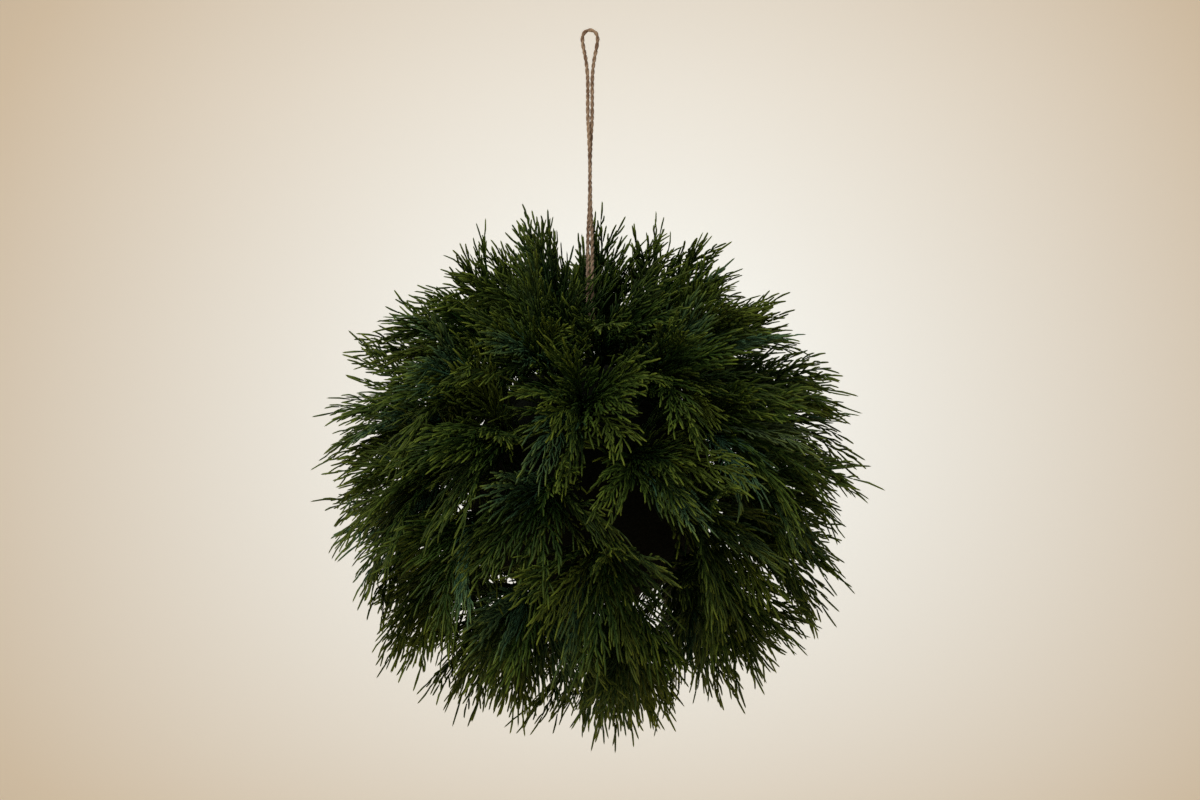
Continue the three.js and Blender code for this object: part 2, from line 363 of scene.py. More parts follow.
jute = jute_material()
twine_nodes = twine_tree()
twine = grown("twine", polyline("twine_path", twine_path), twine_nodes, {"Jute": jute})
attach(twine, "root")
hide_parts("twine_loop")


# The hitch
# The two ends of the same twine, wound three times round the bridge of the wire hairpin and drawn tight.
# It goes wherever the twine goes: the two hang from the same body.

WIRE_RADIUS = 0.001
HITCH_TURNS = 3
HITCH_STEPS = 72
HITCH_RADIUS = 0.00226
HITCH_WIDTH = 0.0047
bridge_height = round(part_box("hanger_pin")[1].z - WIRE_RADIUS, 6)

hitch_turns = []
for step in range(HITCH_STEPS + 1):
    turn = math.radians(step * 360 * HITCH_TURNS / HITCH_STEPS + 90)
    hitch_turns.append(
        (
            -HITCH_WIDTH / 2 + HITCH_WIDTH * step / HITCH_STEPS,
            HITCH_RADIUS * math.cos(turn),
            bridge_height + HITCH_RADIUS * math.sin(turn),
        )
    )
hitch_path = polyline("hitch_path", smooth_path(hitch_turns, 0.001))
hitch = grown("hitch", hitch_path, twine_nodes, {"Jute": jute, "Fibres": 0.2})
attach(hitch, "root")
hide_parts("twine_hitch")


# The foam core
# A ball of stiff foam, dyed dark green and cut with a socket for each stem. It shows only as dark between the
# sprigs: nearly black, with no gloss, broken up by open cells of 1.4 mm and by patches of 22 mm.

foam = bpy.data.materials.new("rigid foam, dark green, open surface")
foam.use_nodes = True
foam_tree = foam.node_tree
foam_place = add(foam_tree, "ShaderNodeTexCoord").outputs["Object"]
foam_cells = add(
    foam_tree, "ShaderNodeTexVoronoi", {"Vector": foam_place, "Scale": 700.0}
).outputs["Distance"]
foam_patches = add(
    foam_tree, "ShaderNodeTexNoise", {"Vector": foam_place, "Scale": 45.0, "Detail": 3.0}
).outputs[0]
foam_ramp = add(foam_tree, "ShaderNodeValToRGB", {"Fac": foam_patches})
foam_ramp.color_ramp.elements[0].color = linear("080b06")
foam_ramp.color_ramp.elements[1].color = linear("141a10")
foam_rough = add(
    foam_tree, "ShaderNodeMapRange", {"Value": foam_cells, "To Min": 0.85, "To Max": 1.0}
).outputs[0]
foam_bump = add(
    foam_tree, "ShaderNodeBump", {"Height": foam_cells, "Strength": 0.7, "Distance": 0.0006}
).outputs[0]
foam_shader = foam_tree.nodes["Principled BSDF"]
foam_tree.links.new(foam_ramp.outputs[0], foam_shader.inputs["Base Color"])
foam_tree.links.new(foam_rough, foam_shader.inputs["Roughness"])
foam_tree.links.new(foam_bump, foam_shader.inputs["Normal"])
foam_shader.inputs["Specular IOR Level"].default_value = 0.2
core = nodes["foam_core"]
core.data.materials.clear()
core.data.materials.append(foam)


# The wire hairpin
# Florist's steel wire, dipped in dark green enamel: it bridges over the top of the core, runs down through
# two bores and is clinched under it. The enamel is a satin skin that hides the metal and is a little uneven.

enamel = bpy.data.materials.new("steel wire, dark green enamel, satin")
enamel.use_nodes = True
enamel_tree = enamel.node_tree
enamel_place = add(enamel_tree, "ShaderNodeTexCoord").outputs["Object"]
enamel_noise = add(
    enamel_tree, "ShaderNodeTexNoise", {"Vector": enamel_place, "Scale": 600.0, "Detail": 3.0}
).outputs[0]
enamel_ramp = add(enamel_tree, "ShaderNodeValToRGB", {"Fac": enamel_noise})
enamel_ramp.color_ramp.elements[0].color = linear("1f2b1d")
enamel_ramp.color_ramp.elements[1].color = linear("33412f")
enamel_rough = add(
    enamel_tree, "ShaderNodeMapRange", {"Value": enamel_noise, "To Min": 0.34, "To Max": 0.6}
).outputs[0]
enamel_bump = add(
    enamel_tree, "ShaderNodeBump", {"Height": enamel_noise, "Strength": 0.15, "Distance": 0.0001}
).outputs[0]
enamel_shader = enamel_tree.nodes["Principled BSDF"]
enamel_tree.links.new(enamel_ramp.outputs[0], enamel_shader.inputs["Base Color"])
enamel_tree.links.new(enamel_rough, enamel_shader.inputs["Roughness"])
enamel_tree.links.new(enamel_bump, enamel_shader.inputs["Normal"])
pin = nodes["hanger_pin"]
pin.data.materials.clear()
pin.data.materials.append(enamel)


# The sprigs
# Each is one moulding of soft green plastic: a stem that forks into fronds, each frond an axis with
# branchlets on both sides, and each branchlet a row of thick blunt needles that point forwards. The stems
# are pushed into the core, and long fronds droop over short ones that stay close to it.

core_low, core_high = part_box("foam_core")
MIDDLE = Vector((0.0, 0.0, round((core_low.z + core_high.z) / 2, 6)))
CORE_RADIUS = round((core_high.z - core_low.z) / 2, 6)
TIP_RADIUS = 0.166
STEM_FOOT = 0.052
STEM_FORK = 0.093
SPRIGS = 48
LONG_FRONDS = 336
SHORT_FRONDS = 178

# The tufts that stand up highest beside the twine: the degrees between their tips and straight up, the
# degrees round the ball from its right, and the distance from its middle at which their axes end.
TUFTS = [(12.5, 186, 0.156), (21, 172, 0.143), (11.5, 24, 0.143), (24, 350, 0.153), (33, 196, 0.154)]
DROOP = 0.3
GOLDEN_TURN = math.pi * (3 - math.sqrt(5))

# Where the fronds' axes start and end, as distances from the middle, and by how much the ends vary
LONG_START = 0.0884
LONG_END = 0.153
SHORT_START = 0.079
SHORT_END = 0.118
END_VARIES = 0.02
HOLLOW_DEPTH = 0.04
UNDER_CUT = 0.013

# A frond's branchlets: how many, how long, and how far the lowest of them spread
LONG_TWIGS = 13
LONG_TWIG_REACH = 0.0245
LONG_TWIG_SPREAD = 44
SHORT_TWIGS = 9
SHORT_TWIG_REACH = 0.029
SHORT_TWIG_SPREAD = 64
STEM_GIRTH = 0.0021
AXIS_GIRTH = 0.0011
TWIG_GIRTH = 0.0007


def vary(piece, use):
    """A number from 0 to 1 that depends only on a piece's number and on what it is for."""
    wave = math.sin(piece * 12.9898 + use * 78.233) * 43758.5453
    return wave - math.floor(wave)


def toward(polar, azimuth):
    """The direction at these angles from straight up and from the right."""
    return Vector(
        (math.sin(polar) * math.cos(azimuth), math.sin(polar) * math.sin(azimuth), math.cos(polar))
    )


def sink_at(radius, droop, power=1.4):
    """The angle that a frond at the waist of the ball has sunk by at this radius."""
    way = (radius - CORE_RADIUS) / (TIP_RADIUS - CORE_RADIUS)
    return droop * max(way, 0.0) ** power


def risen(polar, droop):
    """Where a frond has to start out for its tip to end up at this polar angle."""
    start = polar
    for _ in range(30):
        start = polar - sink_at(TIP_RADIUS, droop) * math.sin(start)
    return start


def stem_droop(tip_polar):
    """The stems and the short fronds sink alike all over the ball."""
    return DROOP


def frond_droop(tip_polar):
    """The fronds hang the most round the waist, and spread outwards again under the ball."""
    low = min(max((tip_polar - math.radians(90)) / math.radians(75), 0.0), 1.0)
    return DROOP * (1.35 - 0.75 * low)


def planting(count, droop_of):
    """(tip's polar angle, root's direction) of fronds whose sunken tips lie evenly over the ball."""
    top = math.cos(math.radians(5))
    made = []
    for i in range(count):
        tip = math.acos(top - (top + 1) * (i + 0.5) / count)
        made.append((tip, toward(risen(tip, droop_of(tip)), math.pi / 2 + i * GOLDEN_TURN)))
    return made


def frond_path(stem, root, start, end, droop, way):
    """A point on a frond's axis, which leaves the stem at start from the middle and fans out to end."""
    radius = start + (end - start) * way
    spread = stem.lerp(root, way).normalized()
    polar = math.acos(max(-1.0, min(1.0, spread.z)))
    polar += sink_at(radius, droop) * math.sin(polar)
    return MIDDLE + toward(polar, math.atan2(spread.y, spread.x)) * radius


def taper_mesh(name, rings, flatness, point):
    """A closed three-sided rod from 0 to 1 on Z through rings of (height, radius), with a blunt point.

    Each corner has its place on a map of the rod rolled out flat, and each vertex its share of the way up.
    """
    sides = 3
    verts, ways, faces, maps = [], [], [], []
    for height, radius in rings:
        for s in range(sides):
            turn = 2 * math.pi * s / sides
            verts.append((radius * math.cos(turn), radius * flatness * math.sin(turn), height))
            ways.append(height)
    for r in range(len(rings) - 1):
        low, high = rings[r][0], rings[r + 1][0]
        for s in range(sides):
            a, b = r * sides + s, r * sides + (s + 1) % sides
            faces.append((a, b, b + sides, a + sides))
            left, right = s / sides, (s + 1) / sides
            maps.append(((left, low), (right, low), (right, high), (left, high)))
    last = (len(rings) - 1) * sides
    verts.append((0.0, 0.0, point))
    ways.append(point)
    for s in range(sides):
        faces.append((last + s, last + (s + 1) % sides, len(verts) - 1))
        left, right = s / sides, (s + 1) / sides
        maps.append(((left, rings[-1][0]), (right, rings[-1][0]), ((left + right) / 2, 1.0)))
    faces.append(tuple(reversed(range(sides))))
    maps.append(((0.0, 0.0), (0.02, 0.0), (0.01, 0.02)))
    mesh = bpy.data.meshes.new(name)
    mesh.from_pydata(verts, [], faces)
    layer = mesh.uv_layers.new(name="OFBake")
    layer.data.foreach_set("uv", [c for face in maps for corner in face for c in corner])
    way = mesh.attributes.new("way", "FLOAT", "POINT")
    way.data.foreach_set("value", ways)
    return mesh


needle_shape = bpy.data.objects.new(
    "needle_shape", taper_mesh("needle_shape", [(0.0, 0.62), (0.5, 1.0), (0.9, 0.72)], 0.72, 1.0)
)
twig_shape = bpy.data.objects.new(
    "twig_shape", taper_mesh("twig_shape", [(0.0, 1.0), (0.5, 0.8), (0.97, 0.5)], 1.0, 1.0)
)


def cedar_material():
    """Injection-moulded polyethylene with a satin skin, green through, with the tips tinted yellower.

    Each frond has its own green, from deep through olive to blue-green, but the short fronds, in the shade of
    the long ones, have only the deep greens as painted shade. The grain is 0.45 mm, the mottling 1.1 mm and
    the patches 26 mm, coarser than a mould's own grain so that they show.
    """
    made = bpy.data.materials.new("polyethylene, cedar green, satin")
    made.use_nodes = True
    tree = made.node_tree
    shader = tree.nodes["Principled BSDF"]
    place = add(tree, "ShaderNodeTexCoord").outputs["Object"]
    tone = add(tree, "ShaderNodeAttribute", attribute_name="tone").outputs["Fac"]
    tip = add(tree, "ShaderNodeAttribute", attribute_name="tip").outputs["Fac"]
    way = add(tree, "ShaderNodeAttribute", attribute_name="way").outputs["Fac"]
    chance = add(tree, "ShaderNodeAttribute", attribute_name="chance").outputs["Fac"]
    ramp = add(tree, "ShaderNodeValToRGB", {"Fac": tone})
    stops = [
        (0.0, "193214"),
        (0.3, "24441a"),
        (0.55, "314f1c"),
        (0.75, "4a5d20"),
        (0.84, "2a4f37"),
        (0.94, "507f66"),
        (1.0, "575a2a"),
    ]
    for position, colour in stops[2:]:
        ramp.color_ramp.elements.new(position)
    for element, (position, colour) in zip(ramp.color_ramp.elements, stops):
        element.position = position
        element.color = linear(colour)
    outer = add(tree, "ShaderNodeMath", {0: tip, 1: 2.2}, operation="POWER").outputs[0]
    end = add(tree, "ShaderNodeMapRange", {"Value": way, "From Min": 0.15, "To Min": 0.25}).outputs[0]
    young = add(tree, "ShaderNodeMath", {0: outer, 1: end}, operation="MULTIPLY").outputs[0]
    some = add(tree, "ShaderNodeMapRange", {"Value": chance, "To Min": 0.35, "To Max": 0.95}).outputs[0]
    fresh = add(tree, "ShaderNodeMath", {0: young, 1: some}, operation="MULTIPLY").outputs[0]
    tinted = add(
        tree,
        "ShaderNodeMix",
        {0: fresh, 6: ramp.outputs[0], 7: linear("78882a")},
        data_type="RGBA",
    ).outputs[2]
    mottle = add(tree, "ShaderNodeTexNoise", {"Vector": place, "Scale": 900.0, "Detail": 3.0}).outputs[0]
    patch = add(tree, "ShaderNodeTexNoise", {"Vector": place, "Scale": 38.0, "Detail": 2.0}).outputs[0]
    one = add(tree, "ShaderNodeMapRange", {"Value": mottle, "To Min": 0.8, "To Max": 1.2}).outputs[0]
    two = add(tree, "ShaderNodeMapRange", {"Value": patch, "To Min": 0.7, "To Max": 1.3}).outputs[0]
    three = add(tree, "ShaderNodeMapRange", {"Value": chance, "To Min": 0.78, "To Max": 1.25}).outputs[0]
    pair = add(tree, "ShaderNodeMath", {0: one, 1: two}, operation="MULTIPLY").outputs[0]
    dim = add(tree, "ShaderNodeMath", {0: pair, 1: three}, operation="MULTIPLY").outputs[0]
    colour = add(tree, "ShaderNodeVectorMath", {0: tinted, "Scale": dim}, operation="SCALE").outputs[0]
    grain = add(tree, "ShaderNodeTexNoise", {"Vector": place, "Scale": 2200.0, "Detail": 2.0}).outputs[0]
    rough = add(tree, "ShaderNodeMapRange", {"Value": mottle, "To Min": 0.42, "To Max": 0.66}).outputs[0]
    bump = add(tree, "ShaderNodeBump", {"Height": grain, "Strength": 0.35, "Distance": 0.0002}).outputs[0]
    tree.links.new(colour, shader.inputs["Base Color"])
    tree.links.new(rough, shader.inputs["Roughness"])
    tree.links.new(bump, shader.inputs["Normal"])
    shader.inputs["Specular IOR Level"].default_value = 0.24
    return made


def spray_tree():
    """A rod along each twig that comes in as a point, and needles on both its sides and on its end.

    A twig is a point with the attributes aim and bend, so that it runs through point + aim t + bend t^2,
    face, the normal of the frond that it lies in, girth, its radius, reach, its needles' length against
    the usual, tip and tip_end, how far out on the frond it starts and ends, and tone, the frond's colour.
    """
    tree, given, result = new_tree(
        "needle spray",
        {
            "Needle": ("Object", None),
            "Twig": ("Object", None),
            "Needle gap": ("Float", 0.00295),
            "Needle length": ("Float", 0.0108),
            "Needle radius": ("Float", 0.00078),
            "Splay": ("Float", 0.45),
            "Seed": ("Int", 1),
            "Moulding": ("Material", None),
        },
    )
    kinds = {
        "aim": "FLOAT_VECTOR",
        "bend": "FLOAT_VECTOR",
        "face": "FLOAT_VECTOR",
        "girth": "FLOAT",
        "reach": "FLOAT",
        "tip": "FLOAT",
        "tip_end": "FLOAT",
        "way": "FLOAT",
        "curl": "FLOAT_VECTOR",
    }
    read = {
        name: add(tree, "GeometryNodeInputNamedAttribute", {"Name": name}, data_type=kind).outputs[0]
        for name, kind in kinds.items()
    }

    # Each random choice has a seed of its own, so that none of them goes with another
    uses = ("tilt", "splay", "length", "lone", "wander", "chance")
    seed = {
        use: add(tree, "ShaderNodeMath", {0: given["Seed"], 1: 97.0 * (i + 1)}, operation="ADD").outputs[0]
        for i, use in enumerate(uses)
    }

    span = add(tree, "ShaderNodeVectorMath", {0: read["aim"]}, operation="LENGTH").outputs["Value"]
    squared = add(tree, "ShaderNodeMath", {0: read["way"], 1: read["way"]}, operation="MULTIPLY").outputs[0]

    # The rods
    rod = add(tree, "GeometryNodeObjectInfo", {"Object": given["Twig"]}).outputs["Geometry"]
    upright = add(tree, "FunctionNodeAlignRotationToVector", {"Vector": read["aim"]}, axis="Z").outputs[0]
    rod_size = add(tree, "ShaderNodeCombineXYZ", {0: read["girth"], 1: read["girth"], 2: span}).outputs[0]
    rods = add(
        tree,
        "GeometryNodeInstanceOnPoints",
        {"Points": given["Geometry"], "Instance": rod, "Rotation": upright, "Scale": rod_size},
    ).outputs[0]
    rods = add(tree, "GeometryNodeRealizeInstances", {0: rods}).outputs[0]
    rod_bend = add(
        tree, "ShaderNodeVectorMath", {0: read["bend"], "Scale": squared}, operation="SCALE"
    ).outputs[0]
    rods = add(tree, "GeometryNodeSetPosition", {"Geometry": rods, "Offset": rod_bend}).outputs[0]
    rods = add(
        tree,
        "GeometryNodeStoreNamedAttribute",
        {"Geometry": rods, "Name": "chance", "Value": 0.1},
        data_type="FLOAT",
    ).outputs[0]

    # The needles' feet, spaced along each twig, the last one at its end
    shares = add(tree, "ShaderNodeMath", {0: span, 1: given["Needle gap"]}, operation="DIVIDE").outputs[0]
    count = add(tree, "ShaderNodeMath", {0: shares, 1: 1.0}, operation="MAXIMUM").outputs[0]
    whole = add(tree, "ShaderNodeMath", {0: count}, operation="ROUND").outputs[0]
    feet = add(
        tree,
        "GeometryNodeDuplicateElements",
        {"Geometry": given["Geometry"], "Amount": whole},
        domain="POINT",
    )
    number = feet.outputs["Duplicate Index"]
    nth = add(tree, "ShaderNodeMath", {0: number, 1: 1.0}, operation="ADD").outputs[0]
    part = add(tree, "ShaderNodeMath", {0: nth, 1: whole}, operation="DIVIDE").outputs[0]
    last = add(tree, "ShaderNodeMath", {0: part, 1: 0.999}, operation="GREATER_THAN").outputs[0]
    parity = add(tree, "ShaderNodeMath", {0: number, 1: 2.0}, operation="MODULO").outputs[0]
    two_sided = add(
        tree, "ShaderNodeMath", {0: parity, 1: 2.0, 2: -1.0}, operation="MULTIPLY_ADD"
    ).outputs[0]
    inner = add(tree, "ShaderNodeMath", {0: 1.0, 1: last}, operation="SUBTRACT").outputs[0]
    side = add(tree, "ShaderNodeMath", {0: two_sided, 1: inner}, operation="MULTIPLY").outputs[0]
    part_squared = add(tree, "ShaderNodeMath", {0: part, 1: part}, operation="MULTIPLY").outputs[0]
    straight = add(
        tree, "ShaderNodeVectorMath", {0: read["aim"], "Scale": part}, operation="SCALE"
    ).outputs[0]
    curved = add(
        tree, "ShaderNodeVectorMath", {0: read["bend"], "Scale": part_squared}, operation="SCALE"
    ).outputs[0]
    foot = add(tree, "ShaderNodeVectorMath", {0: straight, 1: curved}, operation="ADD").outputs[0]

    # Which way each needle points: forwards, splayed to its side, and a little out of the frond's plane
    twice = add(tree, "ShaderNodeMath", {0: part, 1: 2.0}, operation="MULTIPLY").outputs[0]
    turned = add(
        tree, "ShaderNodeVectorMath", {0: read["bend"], "Scale": twice}, operation="SCALE"
    ).outputs[0]
    slope = add(tree, "ShaderNodeVectorMath", {0: read["aim"], 1: turned}, operation="ADD").outputs[0]
    ahead = add(tree, "ShaderNodeVectorMath", {0: slope}, operation="NORMALIZE").outputs[0]
    beside = add(
        tree, "ShaderNodeVectorMath", {0: read["face"], 1: ahead}, operation="CROSS_PRODUCT"
    ).outputs[0]
    beside = add(tree, "ShaderNodeVectorMath", {0: beside}, operation="NORMALIZE").outputs[0]
    tilt = add(
        tree, "FunctionNodeRandomValue", {2: -0.75, 3: 0.95, "Seed": seed["tilt"]}, data_type="FLOAT"
    ).outputs[1]
    tilt_sine = add(tree, "ShaderNodeMath", {0: tilt}, operation="SINE").outputs[0]
    tilt_cosine = add(tree, "ShaderNodeMath", {0: tilt}, operation="COSINE").outputs[0]
    sideways = add(tree, "ShaderNodeMath", {0: tilt_cosine, 1: side}, operation="MULTIPLY").outputs[0]
    level = add(tree, "ShaderNodeVectorMath", {0: beside, "Scale": sideways}, operation="SCALE").outputs[0]
    lifted = add(
        tree, "ShaderNodeVectorMath", {0: read["face"], "Scale": tilt_sine}, operation="SCALE"
    ).outputs[0]
    outward = add(tree, "ShaderNodeVectorMath", {0: level, 1: lifted}, operation="ADD").outputs[0]
    loosely = add(
        tree, "FunctionNodeRandomValue", {2: 0.75, 3: 1.3, "Seed": seed["splay"]}, data_type="FLOAT"
    ).outputs[1]
    splay = add(tree, "ShaderNodeMath", {0: given["Splay"], 1: loosely}, operation="MULTIPLY").outputs[0]
    splay_sine = add(tree, "ShaderNodeMath", {0: splay}, operation="SINE").outputs[0]
    splay_cosine = add(tree, "ShaderNodeMath", {0: splay}, operation="COSINE").outputs[0]
    forward = add(
        tree, "ShaderNodeVectorMath", {0: ahead, "Scale": splay_cosine}, operation="SCALE"
    ).outputs[0]
    off = add(tree, "ShaderNodeVectorMath", {0: outward, "Scale": splay_sine}, operation="SCALE").outputs[0]
    pointing = add(tree, "ShaderNodeVectorMath", {0: forward, 1: off}, operation="ADD").outputs[0]
    rough_size = add(
        tree, "FunctionNodeRandomValue", {2: 0.78, 3: 1.18, "Seed": seed["length"]}, data_type="FLOAT"
    ).outputs[1]
    odd = add(
        tree, "FunctionNodeRandomValue", {2: 0.0, 3: 1.0, "Seed": seed["lone"]}, data_type="FLOAT"
    ).outputs[1]
    lone = add(tree, "ShaderNodeMath", {0: odd, 1: 0.95}, operation="GREATER_THAN").outputs[0]
    longer = add(tree, "ShaderNodeMath", {0: last, 1: 0.28, 2: 1.0}, operation="MULTIPLY_ADD").outputs[0]
    lone = add(tree, "ShaderNodeMath", {0: lone, 1: last}, operation="MULTIPLY").outputs[0]
    longest = add(tree, "ShaderNodeMath", {0: lone, 1: 0.5, 2: longer}, operation="MULTIPLY_ADD").outputs[0]
    length = given["Needle length"]
    for factor in (read["reach"], rough_size, longest):
        length = add(tree, "ShaderNodeMath", {0: length, 1: factor}, operation="MULTIPLY").outputs[0]
    needle_size = add(
        tree, "ShaderNodeCombineXYZ", {0: given["Needle radius"], 1: given["Needle radius"], 2: length}
    ).outputs[0]

    # How each needle curves: back towards the twig's own line, and down with its weight
    home = add(tree, "ShaderNodeVectorMath", {0: ahead, 1: pointing}, operation="SUBTRACT").outputs[0]
    home = add(tree, "ShaderNodeVectorMath", {0: home, "Scale": 0.55}, operation="SCALE").outputs[0]
    wander = add(
        tree,
        "FunctionNodeRandomValue",
        {0: (-0.16, -0.16, -0.22), 1: (0.16, 0.16, 0.08), "Seed": seed["wander"]},
        data_type="FLOAT_VECTOR",
    ).outputs[0]
    curl = add(tree, "ShaderNodeVectorMath", {0: home, 1: wander}, operation="ADD").outputs[0]
    curl = add(tree, "ShaderNodeVectorMath", {0: curl, "Scale": length}, operation="SCALE").outputs[0]

    chance = add(
        tree, "FunctionNodeRandomValue", {2: 0.0, 3: 1.0, "Seed": seed["chance"]}, data_type="FLOAT"
    ).outputs[1]
    out_here = add(
        tree, "ShaderNodeMix", {0: part, 2: read["tip"], 3: read["tip_end"]}, data_type="FLOAT"
    ).outputs[0]
    points = feet.outputs["Geometry"]
    kept = [
        ("curl", "FLOAT_VECTOR", curl),
        ("chance", "FLOAT", chance),
        ("pointing", "FLOAT_VECTOR", pointing),
        ("size", "FLOAT_VECTOR", needle_size),
        ("tip", "FLOAT", out_here),
    ]
    for name, kind, value in kept:
        points = add(
            tree,
            "GeometryNodeStoreNamedAttribute",
            {"Geometry": points, "Name": name, "Value": value},
            data_type=kind,
        ).outputs[0]
    points = add(tree, "GeometryNodeSetPosition", {"Geometry": points, "Offset": foot}).outputs[0]
    kept_pointing = add(
        tree, "GeometryNodeInputNamedAttribute", {"Name": "pointing"}, data_type="FLOAT_VECTOR"
    ).outputs[0]
    kept_size = add(
        tree, "GeometryNodeInputNamedAttribute", {"Name": "size"}, data_type="FLOAT_VECTOR"
    ).outputs[0]
    turn = add(tree, "FunctionNodeAlignRotationToVector", {"Vector": kept_pointing}, axis="Z").outputs[0]
    turn = add(
        tree, "FunctionNodeAlignRotationToVector", {"Rotation": turn, "Vector": read["face"]},
        axis="Y", pivot_axis="Z",
    ).outputs[0]
    blade = add(tree, "GeometryNodeObjectInfo", {"Object": given["Needle"]}).outputs["Geometry"]
    needles = add(
        tree,
        "GeometryNodeInstanceOnPoints",
        {"Points": points, "Instance": blade, "Rotation": turn, "Scale": kept_size},
    ).outputs[0]
    needles = add(tree, "GeometryNodeRealizeInstances", {0: needles}).outputs[0]
    needle_bend = add(
        tree, "ShaderNodeVectorMath", {0: read["curl"], "Scale": squared}, operation="SCALE"
    ).outputs[0]
    needles = add(tree, "GeometryNodeSetPosition", {"Geometry": needles, "Offset": needle_bend}).outputs[0]
    both = add(tree, "GeometryNodeJoinGeometry")
    tree.links.new(rods, both.inputs[0])
    tree.links.new(needles, both.inputs[0])
    rounded = add(tree, "GeometryNodeSetShadeSmooth", {0: both.outputs[0]}).outputs[0]
    bare = rounded
    for name in ("aim", "bend", "face", "girth", "reach", "tip_end", "curl", "pointing", "size"):
        bare = add(tree, "GeometryNodeRemoveAttribute", {"Geometry": bare, "Name": name}).outputs[0]
    painted = add(
        tree, "GeometryNodeSetMaterial", {"Geometry": bare, "Material": given["Moulding"]}
    ).outputs[0]
    tree.links.new(painted, result["Geometry"])
    return tree


def hides_twine(stem, root, tip_polar, short):
    """Whether a frond would hang in front of the twine, where the fronds are combed apart to show it."""
    start, end = (SHORT_START, 0.113) if short else (LONG_START, 0.15)
    half_gap, lowest = (0.012, -0.167) if short else (0.017, -0.179)
    for step in range(4, 11):
        at = frond_path(stem, root, start, end, frond_droop(tip_polar), step / 10)
        if abs(at.x) < half_gap and at.y < 0.003 and at.z > lowest:
            return True
    return False


def frond_end(tip_polar, number, short):
    """How far from the middle a frond's axis ends: less in the hollow by the twine and under the ball."""
    varied = END_VARIES * vary(number, 1)
    if short:
        return SHORT_END - varied
    out = min(max(tip_polar / math.radians(22), 0.0), 1.0)
    hollow = 1 - out * out * (3 - 2 * out)
    under = min(max((tip_polar - math.radians(125)) / math.radians(35), 0.0), 1.0)
    return LONG_END - varied - HOLLOW_DEPTH * hollow * vary(number, 5) - UNDER_CUT * under


def parabola(start, middle, end):
    """(aim, bend) of the curve start + aim t + bend t^2 through these three points at t = 0, 1/2 and 1."""
    return 4 * middle - 3 * start - end, 2 * (start + end - 2 * middle)


def frond_twigs(stem, root, tip_polar, number, short, end):
    """The twigs of one frond, the axis first, each as a dict of its place and the tree's attributes.

    The short fronds stay close to the core, in the shade of the long ones, and branch more widely.
    """
    count = SHORT_TWIGS if short else LONG_TWIGS
    twig_reach = SHORT_TWIG_REACH if short else LONG_TWIG_REACH
    widest = SHORT_TWIG_SPREAD if short else LONG_TWIG_SPREAD
    lowest = 0.0 if short else 0.06
    chance = random.Random(number)
    droop = frond_droop(tip_polar) * (0.65 + 0.7 * vary(number, 2))
    begin = SHORT_START if short else LONG_START
    start, middle, tip = (frond_path(stem, root, begin, end, droop, way) for way in (0.0, 0.5, 1.0))
    swing = Vector([chance.gauss(0, 0.008) for _ in range(3)])
    tip = MIDDLE + (tip + swing - MIDDLE).normalized() * end
    aim, bend = parabola(start, middle + swing * 0.3, tip)
    outward = (tip - MIDDLE).normalized()
    along = (aim + bend).normalized()
    face = outward - along * outward.dot(along)
    if face.length < 0.15:
        face = Vector((0, 0, 1)) - along * along.z
    face = face.normalized()
    across = face.cross(along)
    roll = chance.uniform(-1.6, 1.6) if short else chance.gauss(0, 0.62)
    face = (face * math.cos(roll) + across * math.sin(roll)).normalized()
    # Painted shade: the short fronds, in the shade of the long ones, get only the deepest greens
    tone = 0.3 * vary(number, 3) if short else 0.8 * vary(number, 3) + 0.2 * vary(number, 4)
    twigs = [
        {"at": start, "aim": aim, "bend": bend, "face": face, "girth": AXIS_GIRTH, "reach": 1.0,
         "tip": 0.1, "tip_end": 1.0, "tone": tone}
    ]
    for i in range(count):
        way = lowest + 0.9 * (i + 0.5 * chance.random()) / (count - 1)
        foot = start + aim * way + bend * way * way
        ahead = (aim + 2 * bend * way).normalized()
        beside = face.cross(ahead).normalized()
        side = 1 if i % 2 else -1
        spread = math.radians(widest - 16 * way + chance.gauss(0, 5))
        lift = chance.gauss(0.1, 0.2)
        swell = math.sin(math.pi * min(1.0, 0.22 + 0.65 * way)) ** 0.8
        reach = twig_reach * swell * chance.uniform(0.85, 1.15)
        off = beside * side * math.cos(lift) + face * math.sin(lift)
        run = (ahead * math.cos(spread) + off * math.sin(spread)) * reach
        lean = ahead * 0.28 * reach - off * 0.16 * reach + Vector((0, 0, -0.1)) * reach
        twigs.append(
            {"at": foot, "aim": run, "bend": lean, "face": face, "girth": TWIG_GIRTH,
             "reach": 1.05 - 0.25 * way, "tip": way * 0.85, "tip_end": min(1.0, way + 0.3), "tone": tone}
        )
    return twigs


def twig_cloud(name, twigs):
    """A mesh of one loose vertex for each twig, with its attributes."""
    mesh = bpy.data.meshes.new(name)
    mesh.from_pydata([tuple(t["at"]) for t in twigs], [], [])
    for key in ("aim", "bend", "face"):
        layer = mesh.attributes.new(key, "FLOAT_VECTOR", "POINT")
        layer.data.foreach_set("vector", [c for t in twigs for c in t[key]])
    for key in ("girth", "reach", "tip", "tip_end", "tone"):
        layer = mesh.attributes.new(key, "FLOAT", "POINT")
        layer.data.foreach_set("value", [t[key] for t in twigs])
    return mesh


